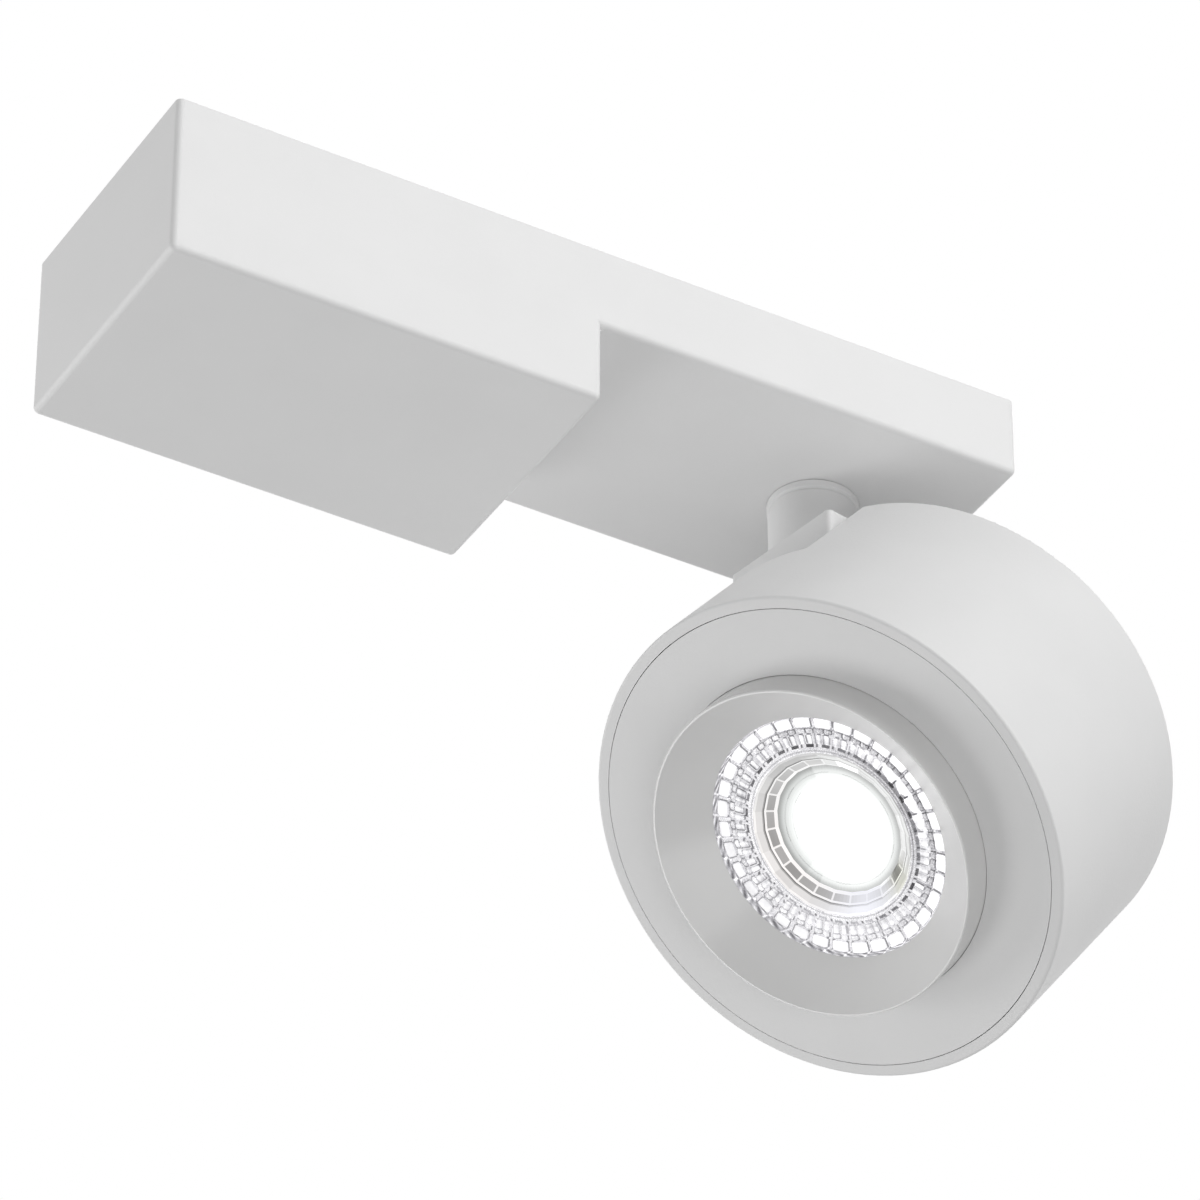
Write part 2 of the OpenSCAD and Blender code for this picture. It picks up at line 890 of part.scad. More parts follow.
// the faceted side is a parabola, wide at the rim and narrow at the pocket
side_wall = [
    for (share = [0.2, 0.4, 0.62, 0.84])
        let (reach = lens_r - rim_wid - pocket_r - 1)
        [pocket_r + 1 + reach * sqrt(1 - share), lens_inset + lens_depth * share, pillow_h, 0]
];

lens_rows = concat(
    [[lens_core_r / 2, core_t - 0.2, 0, 0]],
    bowl_wall,
    [
        [lens_bowl_r + 0.4, annulus_t, 0, 0],
        [block_in_r - 0.3, annulus_t + 0.3, 0, 0],
        [block_in_r, annulus_t + 0.1, 0, 0.15],
        [lens_r - 1, annulus_t - 0.1, 0, 0.3],
        [lens_r - 0.6, lens_inset + 0.4, 0, 0],
        [lens_r, lens_inset + 0.2, 0, 0],
        [lens_r, lens_inset + lens_rim, 0, 0],
        [lens_r - rim_wid, lens_inset + lens_rim, 0, 0]
    ],
    side_wall,
    [
        [pocket_r + 1, lens_back, 0, 0],
        [pocket_r, lens_back, 0, 0],
        [pocket_r - 0.6, pocket_tip + pocket_dome, 0, 0],
        [pocket_r * 0.6, pocket_tip + pocket_dome * 0.3, 0, 0]
    ]
);

// how far a pillow bulges: nothing on the facet lines, all of its height halfway
function bulge(j) = 1 - pow(abs(2 * (j % pillow_steps) / pillow_steps - 1), 2);

function lens_point(row, j) =
    let (a = 360 * j / lens_turn, r = row[0] + row[2] * (bulge(j) - 1))
    [r * cos(a), r * sin(a), row[1] - row[3] * bulge(j)];

module lens_body() {
    rows = len(lens_rows);
    front_tip = rows * lens_turn;
    points = concat(
        [for (row = lens_rows, j = [0:lens_turn - 1]) lens_point(row, j)],
        [[0, 0, core_t - 0.3], [0, 0, pocket_tip]]
    );
    sides = [
        for (i = [0:rows - 2], j = [0:lens_turn - 1])
            let (k = (j + 1) % lens_turn, a = i * lens_turn, b = a + lens_turn)
            each [[a + j, b + j, b + k], [a + j, b + k, a + k]]
    ];
    front = [for (j = [0:lens_turn - 1]) [front_tip, j, (j + 1) % lens_turn]];
    last = (rows - 1) * lens_turn;
    back = [for (j = [0:lens_turn - 1]) [front_tip + 1, last + (j + 1) % lens_turn, last + j]];
    polyhedron(points, concat(sides, front, back));
}

// V-grooves that part the ring of flat facets round the bowl's bottom
module core_grooves() {
    groove_wid = 0.35;
    slope = atan2(0.32 * bowl_rise, 0.34 * bowl_wid);
    for (i = [0:lens_core_facets - 1])
        rotate([0, 0, 360 * i / lens_core_facets])
            translate([lens_core_r + bowl_wid * 0.27, 0, core_t - bowl_rise * 0.26])
                rotate([0, slope, 0])
                    rotate([45, 0, 0])
                        cube([bowl_wid * 0.4, groove_wid, groove_wid], center = true);
}

module lens() {
    color("aliceblue", 0.5)
        at_head()
            difference() {
                lens_body();
                core_grooves();
            }
}

// glare ring: a thin outer wall, a lip and an inner cone that laps over the lens's edge
module glare_ring() {
    edge = lip_wall * 0.3;
    wall = 1.2;
    lip_in_r = ring_r - lip_wall;
    cone_end = lens_inset - 0.7;
    lap_t = 0.6;
    seat_r = holder_in_r + loose;
    color("white")
        at_head()
            rotate_extrude()
                polygon([
                    [throat_r, cone_end],
                    [lip_in_r, -ring_proud + edge],
                    [lip_in_r + edge, -ring_proud],
                    [ring_r - edge, -ring_proud],
                    [ring_r, -ring_proud + edge],
                    [ring_r, ring_back],
                    [ring_r + 2, ring_back],
                    [ring_r + 2, ring_back + ring_flange_t],
                    [ring_r - wall, ring_back + ring_flange_t],
                    [ring_r - wall, -ring_proud + 4],
                    [seat_r + wall, cone_end],
                    [seat_r + wall, ring_back + ring_flange_t],
                    [seat_r, ring_back + ring_flange_t],
                    [seat_r, cone_end + lap_t],
                    [throat_r, cone_end + lap_t]
                ]);
}

// front plate with three tongues that snap in behind the drum's inner bead
module front_plate() {
    tongue_out = bead_r - 0.2;
    tongue_t = 1.4;
    catch_at = front_t + bead_t + 0.2;
    catch_t = 1.4;
    color("white")
        at_head() {
            ring(front_r, ring_r + ring_gap, front_t);
            for (a = boss_angles)
                rotate([0, 0, a])
                    rotate_extrude(angle = 12)
                        polygon([
                            [tongue_out - tongue_t, front_t - eps],
                            [tongue_out, front_t - eps],
                            [tongue_out, catch_at],
                            [tongue_out + 0.6, catch_at],
                            [tongue_out, catch_at + catch_t],
                            [tongue_out - tongue_t, catch_at + catch_t]
                        ]);
        }
}

base_housing();
mounting_plate();
housing_screws();
cable_grommet();
earth_stud();
earth_nut();
terminal_block();
terminal_screws();
driver_pad();
driver_case();
driver_cover();
swivel_collar();
stop_pin();
swivel_post();
stop_washer();
wave_washer();
pan_washer();
pan_nut();
tilt_axle();
tilt_nut();
friction_washers();
drum_housing();
heat_sink();
heat_sink_screws();
led_board();
led_chip();
lens_holder();
holder_screws();
lens();
glare_ring();
front_plate();
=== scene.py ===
# %% [markdown]
# # A ceiling spot, dressed for the studio
# The object is a white spotlight that is screwed flat to a ceiling. A stepped base box holds
# the driver, and a drum-shaped head hangs under its thin half on a short swivel post. Its
# construction is loaded as it stands. This script gives each surface its finish, cuts the
# lens facet by facet, lights the whole softly and puts the camera below it.

# %% Load the construction
import json
import math
from types import SimpleNamespace

import bpy
import numpy as np
from mathutils import Matrix, Vector


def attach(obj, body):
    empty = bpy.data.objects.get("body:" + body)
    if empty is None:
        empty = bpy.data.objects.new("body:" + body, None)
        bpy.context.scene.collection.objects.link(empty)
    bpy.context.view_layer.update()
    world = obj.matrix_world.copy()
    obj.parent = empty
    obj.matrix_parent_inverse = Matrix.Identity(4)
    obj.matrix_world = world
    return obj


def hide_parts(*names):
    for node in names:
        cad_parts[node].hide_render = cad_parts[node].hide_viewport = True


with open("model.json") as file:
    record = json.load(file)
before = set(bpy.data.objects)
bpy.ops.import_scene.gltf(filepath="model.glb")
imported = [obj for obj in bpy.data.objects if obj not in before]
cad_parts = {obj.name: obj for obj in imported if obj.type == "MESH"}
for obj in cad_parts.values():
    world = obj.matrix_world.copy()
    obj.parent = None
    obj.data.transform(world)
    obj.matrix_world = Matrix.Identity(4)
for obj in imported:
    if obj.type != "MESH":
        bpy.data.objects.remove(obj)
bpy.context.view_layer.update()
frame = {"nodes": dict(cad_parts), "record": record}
nodes = frame["nodes"]
MM = 0.001
print("pieces in the construction:", len(nodes))

# %% [markdown]
# ## Where the head is
# The head turns about two axes. Everything round on it is easiest to write in its own frame:
# one direction from the drum's axis towards the hinge, one along the hinge, and one from the
# front face back into the drum. An empty that carries the pieces could do this too, but every
# piece has to stay unturned at the origin, so the frame is three axes and a point. The joint's
# place comes from the record, and the rest from four sizes of the hinge.

# %% The head's own frame
PAN_REST = math.radians(-170.1)
TILT_REST = math.radians(39.3)
PIVOT_ACROSS = 35.2 * MM
PIVOT_BEHIND = 40.2 * MM

joint_at = {j["name"]: Vector(j["pos_m"]) for j in frame["record"]["behaviour"]["joints"]}
facing = Vector((math.cos(PAN_REST), math.sin(PAN_REST), 0))
hinge_line = Vector((-math.sin(PAN_REST), math.cos(PAN_REST), 0))
to_hinge = facing * math.cos(TILT_REST) + Vector((0, 0, math.sin(TILT_REST)))
backwards = to_hinge.cross(hinge_line)
front_centre = joint_at["tilt"] - to_hinge * PIVOT_ACROSS - backwards * PIVOT_BEHIND
head_axes = np.array([to_hinge, hinge_line, backwards])
print("middle of the front face, mm:", [round(v / MM, 2) for v in front_centre])


def on_head(across, along, behind):
    """Places on the head, in millimetres: across towards the hinge, along it, and behind the
    front face. Each is an array, and the result has one row of x, y, z in metres per place."""
    local = np.stack(np.broadcast_arrays(across, along, behind), axis=-1) * MM
    return local @ head_axes + np.array(front_centre)


# %% [markdown]
# ## The camera
# The photograph looks up at the lamp from in front of its long side and a little below its
# thick end, through a long lens that keeps the box's edges nearly parallel. Such a view can be
# set by eye, but then every edge is a little off. Here the place and the direction were worked
# out from the box's corners, whose sizes are known, and from how they run together.

# %% Camera
CAMERA_AT = Vector((-0.52133, -0.93260, -0.84950))
CAMERA_LOOK = Vector((0.40070, 0.69756, 0.59401))
CAMERA_UP = Vector((-0.29726, -0.51428, 0.80446))
LENS_MM = 222.24
SENSOR_MM = 36.0
SEES_TO = 20.0

camera_data = bpy.data.cameras.new("photo_camera")
camera_data.lens = LENS_MM
camera_data.sensor_width = SENSOR_MM
camera_data.clip_end = SEES_TO
camera = bpy.data.objects.new("photo_camera", camera_data)
bpy.context.scene.collection.objects.link(camera)
right = CAMERA_LOOK.cross(CAMERA_UP).normalized()
upright = right.cross(CAMERA_LOOK).normalized()
turn = Matrix((right, upright, -CAMERA_LOOK.normalized())).transposed()
camera.matrix_world = Matrix.Translation(CAMERA_AT) @ turn.to_4x4()
bpy.context.scene.camera = camera
print("camera to the front face, m:", round((front_centre - CAMERA_AT).length, 3))

# %% [markdown]
# ## Finishes
# Each finish is made from the same few steps: noise on the piece's own coordinates, a pair of
# colours, a range of roughness and a fine relief. Pictures of paint could be wrapped round the
# pieces instead, but they repeat, stretch over corners and have seams. Noise has none of that,
# and it turns with its piece. A real coat or casting changes a little from place to place, and
# that small change keeps a white object from looking like plain plaster.

# %% Finishes: helpers
def grey(value):
    """A colour without a tint."""
    return (value, value, value)


def settle(node, **values):
    """Sets a node's inputs by name. An underscore in a name stands for a space."""
    for name, value in values.items():
        node.inputs[name.replace("_", " ")].default_value = value
    return node


def new_material(name):
    """A material with an empty principled surface, its node tree and its shader."""
    material = bpy.data.materials.new(name)
    material.use_nodes = True
    tree = material.node_tree
    return material, tree, tree.nodes["Principled BSDF"]


def grain(tree, scale, detail):
    """Noise on the object's own coordinates. Scale counts the grains to the metre."""
    place = tree.nodes.new("ShaderNodeTexCoord")
    noise = settle(tree.nodes.new("ShaderNodeTexNoise"), Scale=scale, Detail=detail, Roughness=0.5)
    tree.links.new(place.outputs["Object"], noise.inputs["Vector"])
    return noise.outputs["Fac"]


def colour(tree, shader, scale, dark, light, detail=4.0):
    """Gives the surface a colour between two colours, by a grain. The middle of the noise is
    stretched, because its ends are rare."""
    ramp = tree.nodes.new("ShaderNodeValToRGB")
    for stop, position, shade in zip(ramp.color_ramp.elements, (0.3, 0.7), (dark, light)):
        stop.position = position
        stop.color = (*shade, 1)
    tree.links.new(grain(tree, scale, detail), ramp.inputs["Fac"])
    tree.links.new(ramp.outputs["Color"], shader.inputs["Base Color"])


def roughen(tree, shader, scale, rough, detail=4.0):
    """Gives the surface a roughness between the two values of a pair, by a grain."""
    span = settle(tree.nodes.new("ShaderNodeMapRange"), To_Min=rough[0], To_Max=rough[1])
    tree.links.new(grain(tree, scale, detail), span.inputs["Value"])
    tree.links.new(span.outputs["Result"], shader.inputs["Roughness"])


def emboss(tree, shader, scale, height, detail=4.0):
    """Raises the surface by a grain times a height in metres."""
    bump = settle(tree.nodes.new("ShaderNodeBump"), Distance=height, Strength=1.0)
    tree.links.new(grain(tree, scale, detail), bump.inputs["Height"])
    tree.links.new(bump.outputs["Normal"], shader.inputs["Normal"])


# %% [markdown]
# ## White coats
# The box, the collar and the screws are steel with a baked powder coat, which leaves a fine
# orange peel. The cast post and drum carry the same powder, a little coarser. One white for all
# would be simpler. Three are used, because the photograph shows the castings slightly darker
# than the sheet, and the lens's light drawn out into streaks on the near wall of the ring. Only
# a smoother satin coat does that. A colour here is the share of light that the paint sends back,
# and a screen shows that share's 2.2nd root.

# %% White coats
SCREEN = 2.2
MATT, SATIN = (0.50, 0.62), (0.21, 0.27)


def coat(name, dark, light, rough, peel, gloss):
    """White coat: a nearly even colour, a sheen between two roughnesses, and an orange peel
    whose height is in metres."""
    material, tree, shader = new_material(name)
    colour(tree, shader, 60, dark, light, detail=3.0)
    roughen(tree, shader, 240, rough)
    emboss(tree, shader, 1600, peel, detail=2.0)
    settle(shader, Specular_IOR_Level=gloss)
    return material


sheet_white = coat("sheet_white", grey(0.785), grey(0.80), MATT, peel=0.02 * MM, gloss=0.35)
cast_white = coat("cast_white", grey(0.742), grey(0.762), MATT, peel=0.03 * MM, gloss=0.35)
ring_white = coat("ring_white", (0.67, 0.668, 0.664), (0.69, 0.688, 0.684), SATIN,
                  peel=0.004 * MM, gloss=0.75)
print("sheet, castings and ring on a screen:",
      [round(255 * value ** (1 / SCREEN)) for value in (0.785, 0.742, 0.67)], "of 255")

# %% [markdown]
# ## Metals, plastics and rubber
# These pieces sit inside the box and the drum, where they show only when the lamp is seen from
# the ceiling side or taken apart. Plain grey would do for the photograph, but a part that can
# be opened needs its real materials. Two functions cover them all, because bare metals differ
# in colour and grain, and plastics in their moulded skin. The scale of the noise counts grains
# to the metre, so zinc gets its coarse spangle and drawn steel a fine even skin.

# %% Metals, plastics and rubber
def metal(name, dark, light, scale, rough):
    """A bare metal whose colour and roughness change from grain to grain."""
    material, tree, shader = new_material(name)
    settle(shader, Metallic=1.0)
    colour(tree, shader, scale, dark, light)
    roughen(tree, shader, scale * 3, rough)
    return material


def plastic(name, dark, light, scale, rough, height):
    """A moulded plastic or rubber with a fine spark-eroded grain of a height in metres."""
    material, tree, shader = new_material(name)
    colour(tree, shader, scale, dark, light)
    roughen(tree, shader, scale * 2, rough)
    emboss(tree, shader, scale * 6, height)
    return material


zinc = metal("zinc", (0.56, 0.57, 0.59), (0.68, 0.69, 0.7), 300, (0.28, 0.42))
steel = metal("plated_steel", (0.6, 0.6, 0.61), grey(0.7), 900, (0.22, 0.35))
brass = metal("brass", (0.7, 0.52, 0.24), (0.8, 0.62, 0.32), 900, (0.2, 0.35))
aluminium = metal("aluminium", (0.74, 0.75, 0.76), (0.84, 0.84, 0.85), 500, (0.3, 0.45))
rubber = plastic("rubber", grey(0.03), grey(0.05), 500, (0.6, 0.75), 0.03 * MM)
foam = plastic("foam", (0.05, 0.05, 0.055), grey(0.1), 1500, (0.85, 0.95), 0.1 * MM)
ivory = plastic("terminal_ivory", (0.72, 0.68, 0.56), (0.8, 0.76, 0.64), 300, (0.4, 0.5),
                0.02 * MM)
driver_white = plastic("driver_white", (0.72, 0.73, 0.73), grey(0.8), 400, (0.45, 0.55),
                       0.03 * MM)
nylon = plastic("nylon", grey(0.05), grey(0.09), 400, (0.35, 0.5), 0.02 * MM)
holder_white = plastic("holder_white", grey(0.78), grey(0.84), 400, (0.35, 0.45), 0.02 * MM)
print("materials so far:", len(bpy.data.materials))

# %% [markdown]
# ## The clear lens and the light source
# The solid lens is moulded acrylic, which bends light by 1.49 and is faintly blue in its depth.
# The chip behind it is a yellow phosphor that glows nearly white. Both get their real material.
# The photograph's view shows the finer pieces further down instead, for the reason given there.

# %% Clear lens and the light source
ACRYLIC_IOR = 1.49

clear_acrylic, tree, shader = new_material("clear_acrylic")
settle(shader, Transmission_Weight=1.0, IOR=ACRYLIC_IOR)
roughen(tree, shader, 900, (0.0, 0.03))
colour(tree, shader, 200, (0.97, 0.985, 0.99), (0.99, 1.0, 1.0))

phosphor, tree, shader = new_material("phosphor")
settle(shader, Emission_Color=(0.96, 1.0, 0.98, 1), Emission_Strength=12.0, Roughness=0.5)
colour(tree, shader, 900, (0.9, 0.83, 0.45), (0.95, 0.88, 0.55))
print("clear and lit:", clear_acrylic.name, phosphor.name)

# %% [markdown]
# ## Which piece gets which finish
# On the real lamp, pieces that leave the paint shop or the press together look the same.
# Finishes could be set one piece at a time. One table that names every piece once is easier to
# check, because its count has to be the number of pieces. Nothing of the construction is moved
# or cut.

# %% Give every piece of the construction its finish
finish_of = {
    sheet_white: ["base_housing", "swivel_collar", "housing_screws"],
    cast_white: ["swivel_post", "drum_housing", "front_plate"],
    ring_white: ["glare_ring"],
    zinc: ["mounting_plate"],
    steel: ["earth_stud", "terminal_screws", "stop_pin", "stop_washer", "wave_washer",
            "pan_washer", "pan_nut", "tilt_axle", "tilt_nut", "heat_sink_screws",
            "holder_screws"],
    brass: ["earth_nut"],
    aluminium: ["heat_sink", "led_board"],
    rubber: ["cable_grommet"],
    foam: ["driver_pad"],
    ivory: ["terminal_block"],
    driver_white: ["driver_case", "driver_cover"],
    nylon: ["friction_washers"],
    holder_white: ["lens_holder"],
    clear_acrylic: ["lens"],
    phosphor: ["led_chip"],
}
for finish, names in finish_of.items():
    for name in names:
        for slot in nodes[name].material_slots:
            slot.material = finish
print("finished:", sum(len(names) for names in finish_of.values()), "of", len(nodes))

# %% [markdown]
# ## The lens
# The lens is what draws the eye: a clear moulded collector that is lit from behind. Its front
# is a flat ring of blocks and small prisms round a bowl, and the light source shows at the
# bowl's bottom. Clear glass over a lamp would need thousands of rays to settle, and would still
# show a guess. The facets are therefore real relief on a polar grid, and each small face keeps
# its own brightness, the way each facet of such a lens shows one patch of the light source.
#
# Radii are shares of the lens's own radius, depths are millimetres behind the drum's front
# face, and directions are degrees from the hinge: 90 is the side near the camera, 270 the far
# side.

# %% Lens: soft edges and bells
LENS_R = 23.8
RING_FACETS = 34
BOWL_FACETS = 24


def step(value, edge, width):
    """Rises smoothly from 0 to 1 where the value passes an edge: the cubic 3x2 - 2x3."""
    x = np.clip((value - edge) / width + 0.5, 0, 1)
    return x * x * (3 - 2 * x)


def band(value, low, high, width=0.004):
    """1 between two edges and 0 outside them, with soft shoulders."""
    return step(value, low, width) * (1 - step(value, high, width))


def towards(angle, middle, spread_by):
    """A bell round one direction, in degrees: e to the minus of the squared distance."""
    apart = (np.degrees(angle) - middle + 180) % 360 - 180
    return np.exp(-(apart / spread_by) ** 2)


def between(values):
    """The middle of each face of a closed grid along one direction."""
    return (values + np.roll(values, -1)) / 2


print("a band at its edge and in its middle:", band(0.2, 0.2, 0.4), band(0.3, 0.2, 0.4))

# %% [markdown]
# ## A closed skin
# The real lens is one moulded body, so each piece of it is one closed skin. It could be built
# from blocks and joined, which leaves hidden walls. Here the points lie on a grid that closes on
# itself, and each face joins four neighbours, so nothing is open and nothing is hidden. The
# volume inside tells which way the faces look.

# %% Lens: closed meshes with a tone for each face
def ring_faces(rows, columns):
    """Four-sided faces of a grid that closes on itself both ways, like a ring."""
    row, column = np.meshgrid(np.arange(rows), np.arange(columns), indexing="ij")
    below, beside = (row + 1) % rows, (column + 1) % columns
    corners = [row * columns + column, below * columns + column,
               below * columns + beside, row * columns + beside]
    return np.stack(corners, axis=-1).reshape(-1, 4)


def enclosed_volume(points, faces):
    """Volume inside a closed mesh: the sum over its triangles of the box product of their
    corners, divided by six. It is negative where the faces point inwards."""
    a, b, c = (points[faces[:, k]] for k in range(3))
    total = np.einsum("ij,ij->i", a, np.cross(b, c)).sum()
    if faces.shape[1] == 4:
        d = points[faces[:, 3]]
        total += np.einsum("ij,ij->i", a, np.cross(c, d)).sum()
    return total / 6


def faceted_piece(name, points, faces, tones, material):
    """Makes a closed piece with flat faces, and stores each face's painted light as its colour."""
    volume = enclosed_volume(points, faces)
    if volume < 0:
        faces = faces[:, ::-1]
    mesh = bpy.data.meshes.new(name)
    mesh.from_pydata(points.tolist(), [], faces.tolist())
    shade = mesh.attributes.new("painted_facet_light", "FLOAT_COLOR", "CORNER")
    per_corner = np.repeat(np.c_[tones, np.ones(len(tones))], faces.shape[1], axis=0)
    shade.data.foreach_set("color", per_corner.astype(np.float32).ravel())
    mesh.materials.append(material)
    piece = bpy.data.objects.new(name, mesh)
    bpy.context.scene.collection.objects.link(piece)
    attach(piece, "head")
    print(name, len(mesh.polygons), "faces,", round(abs(volume) / MM ** 3), "mm3")
    return piece


# %% [markdown]
# ## Lit acrylic
# A facet of the lens looks bright or dark by what it shows of the light source, and on top of
# that it mirrors the room like any clear plastic. A surface that only glows would look like a
# printed disc, and one that only mirrors would be dark. So each face's brightness feeds both
# the colour and a glow, and a smooth surface over it adds the glints. The tones below are
# written as a screen shows them, so each is raised to the screen's power, and divided by what a
# face of tone 1 sends out by its glow and its colour together.

# %% Lit acrylic
GLOW = 0.85
DIMMED_TO = 0.5
SENDS_OUT = 1.2

lit_acrylic, tree, shader = new_material("lit_acrylic")
settle(shader, Emission_Strength=GLOW, IOR=ACRYLIC_IOR)
roughen(tree, shader, 700, (0.04, 0.12))
# Each face's painted light feeds both the colour and the glow.
painted_facet_light = tree.nodes.new("ShaderNodeAttribute")
painted_facet_light.attribute_name = "painted_facet_light"
dimmed = settle(tree.nodes.new("ShaderNodeMixRGB"), Fac=1.0, Color2=(*grey(DIMMED_TO), 1))
dimmed.blend_type = "MULTIPLY"
dimmed.use_clamp = True
tree.links.new(painted_facet_light.outputs["Color"], dimmed.inputs["Color1"])
tree.links.new(dimmed.outputs["Color"], shader.inputs["Base Color"])
tree.links.new(painted_facet_light.outputs["Color"], shader.inputs["Emission Color"])
print("a face of tone 1 glows by", GLOW, "and its colour is", DIMMED_TO)

# %% [markdown]
# ## The ring of prisms
# From the rim inwards each of the 34 facets has a leaning edge, a white pillow block, two small
# roof prisms, two long bars, a dark pit and a mottled foot. One facet could be modelled by hand
# and copied round, but the copies would all be alike and would meet in seams. One grid for the
# whole ring has a row about every 0.14 mm and twenty columns for each facet. Its relief and its
# tone are formulas of two numbers: the share of the radius, and how far across its facet a
# point lies.

# %% Ring of prisms: relief
COLUMNS = 20
RIM, BLOCKS_OUT, BLOCKS_IN, ROOFS_IN, BARS_IN, PIT_IN, RING_IN = (
    0.9935, 0.979, 0.887, 0.838, 0.748, 0.724, 0.678)
PILLOW_HIGH, ROOF_HIGH, BAR_HIGH, GROOVE_DEEP = 0.28, 0.30, 0.24, 0.22
LEANS_FROM, LEANS_BY = 0.965, 9.0

ring_share = np.concatenate([np.linspace(RIM, BLOCKS_OUT + 0.001, 9),
                             np.linspace(BLOCKS_OUT - 0.001, RING_IN, 54)])
ring_turns = np.arange(RING_FACETS * COLUMNS) / COLUMNS
ring_angles = ring_turns * 2 * np.pi / RING_FACETS
front_levels = np.array([
    (RING_IN, 1.95), (0.690, 2.05), (0.722, 2.05), (BARS_IN, 2.25), (0.756, 1.98), (0.832, 2.00),
    (ROOFS_IN, 2.15), (0.884, 2.20), (0.889, 2.02), (LEANS_FROM, 1.80), (0.980, 1.62), (RIM, 0.58)])
back_levels = np.array([
    (RING_IN, 3.60), (0.600, 7.00), (0.420, 8.50), (0.420, 17.8), (0.460, 17.8), (0.605, 15.1),
    (0.735, 11.3), (0.835, 7.60), (0.905, 4.20), (0.950, 2.75), (0.960, 2.55), (1.010, 2.55),
    (1.010, 1.22), (0.9938, 1.20)])


def ring_relief(share, across):
    """Height of the relief over the plain ring, in mm. Pillow blocks swell by a sixth power
    across the facet, the roof prisms and the bars by the sine of twice round the facet."""
    edge = np.abs(2 * across - 1)
    twice = np.abs(np.sin(2 * np.pi * across))
    pillow = PILLOW_HIGH * (1 - edge ** 6) * band(share, 0.889, 0.978 - 0.02 * edge ** 4)
    roofs = ROOF_HIGH * twice * band(share, 0.840, 0.884)
    bars = BAR_HIGH * np.sqrt(twice) * band(share, 0.750, 0.834)
    groove = GROOVE_DEEP * step(edge, 0.9, 0.1) * band(share, 0.750, 0.978)
    return pillow + roofs + bars - groove


share, turns = np.meshgrid(ring_share, ring_turns, indexing="ij")
front_depth = np.interp(share, *front_levels.T) - ring_relief(share, turns % 1.0)
lean = np.clip(share - LEANS_FROM, 0, 1) * LEANS_BY * 2 * np.pi / RING_FACETS
back_share, back_depth = (np.repeat(column[:, None], len(ring_turns), axis=1)
                          for column in back_levels.T)
all_share = np.concatenate([share, back_share])
all_depth = np.concatenate([front_depth, back_depth])
around = ring_angles + np.concatenate([lean, 0 * back_share])
ring_points = on_head(all_share * LENS_R * np.cos(around), all_share * LENS_R * np.sin(around),
                      all_depth).reshape(-1, 3)
print("ring of prisms, rows and columns:", all_share.shape)

# %% [markdown]
# ## The ring's brightness
# Every zone is a band of radius with rounded rectangles in it. Sines of the facet's number make
# neighbours differ a little. Bells round a direction are painted light and shade: they change a
# zone from side to side, where the lens shows other parts of the lamp. A picture could be laid
# over the facets instead, but it would keep one view's blur and angle, while a formula stays with
# its facet from every side.

# %% Ring of prisms: helpers for the tones
def speckle(rows, columns):
    """An uneven value from -1 to 1 for each face: the broken part of a large sine."""
    row, column = np.meshgrid(np.arange(rows), np.arange(columns), indexing="ij")
    return (np.sin(row * 12.9898 + column * 78.233) * 43758.5453) % 2.0 - 1


def cushion(f, middle, half_width, middle_share, half_height):
    """Less than 1 inside a rounded rectangle: the sum of the sixth powers of the two distances
    from its middle, each as a share of the half size."""
    return (((f.across - middle) / half_width) ** 6
            + ((f.share - middle_share) / half_height) ** 6)


def outlined(shape, inside, line, outside, thick):
    """A tone inside a rounded rectangle, a darker line along its edge, and a tone outside."""
    edge_line = band(shape, 1.0, 1.0 + thick, 0.3)
    plain = np.where(shape < 1.15, inside - 0.16 * step(shape, 0.60, 0.8), outside)
    return plain * (1 - edge_line) + line * edge_line


def facets_at(share, turn):
    """All that the ring's tones are worked out from, for each face: its place on its facet, its
    direction from the middle, an uneven value, and two waves of the facet's number."""
    across, number, angle = turn % 1.0, np.floor(turn), turn * 2 * np.pi / RING_FACETS
    # The bells round a direction, near, nearest, far and cool_side, are painted light and shade.
    return SimpleNamespace(
        share=share, across=across, edge=np.abs(2 * across - 1), number=number, angle=angle,
        mottle=speckle(*share.shape), near=towards(angle, 90, 62),
        nearest=towards(angle, 92, 34), far=towards(angle, 268, 48),
        cool_side=towards(angle, 215, 38),
        odd=np.sin(number * 5.3) * 0.5 + np.sin(number * 2.1 + 1.0) * 0.5,
        other=np.sin(number * 3.1 + 0.7))


print("speckle of four faces:", speckle(2, 2).round(2).tolist())


# %% [markdown]
# ## Rim and blocks
# The outermost edge leans, so the lamp shows in it as slanting streaks. Inside it sits one white
# pillow block for each facet. It is the brightest form of the ring, and smaller on the far side.

# %% Ring of prisms: rim and blocks
def rim_tone(f, rim_from):
    """The leaning edge: slanting streaks that run from block to block."""
    up_the_rim = np.clip((f.share - rim_from) / (RIM - rim_from), 0, 1)
    streak = (np.sin(2 * np.pi * (f.across * 2 + up_the_rim * 1.6) + f.number)
              + np.sin(up_the_rim * 12 + f.across * 5))
    seam = band(f.edge, 0.88, 2)
    return 0.70 + 0.14 * streak + 0.20 * f.near + 0.22 * seam + 0.06 * f.mottle


def block_tone(f):
    """One white block for each facet, smaller on the far side."""
    block = cushion(f, 0.5 + 0.02 * f.odd, 0.43 - 0.08 * f.far,
                    0.934 - 0.008 * f.far, 0.045 - 0.008 * f.far)
    gaps = (0.93 - 0.05 * f.far + 0.05 * f.mottle
            - 0.34 * band(f.share, 0.935, 0.965, 0.01) * f.near)
    return (outlined(block, 1.07 - 0.08 * f.far, 0.50 + 0.10 * f.far, gaps, 0.8)
            + 0.05 * f.mottle)


# %% [markdown]
# ## Roofs and bars
# Small roof prisms break the light into short patches, and the long bars carry it inwards. On
# the near side the bars flare up into one white band, which is what the photograph shows most
# clearly there. On the far side each has a dark square at its side.

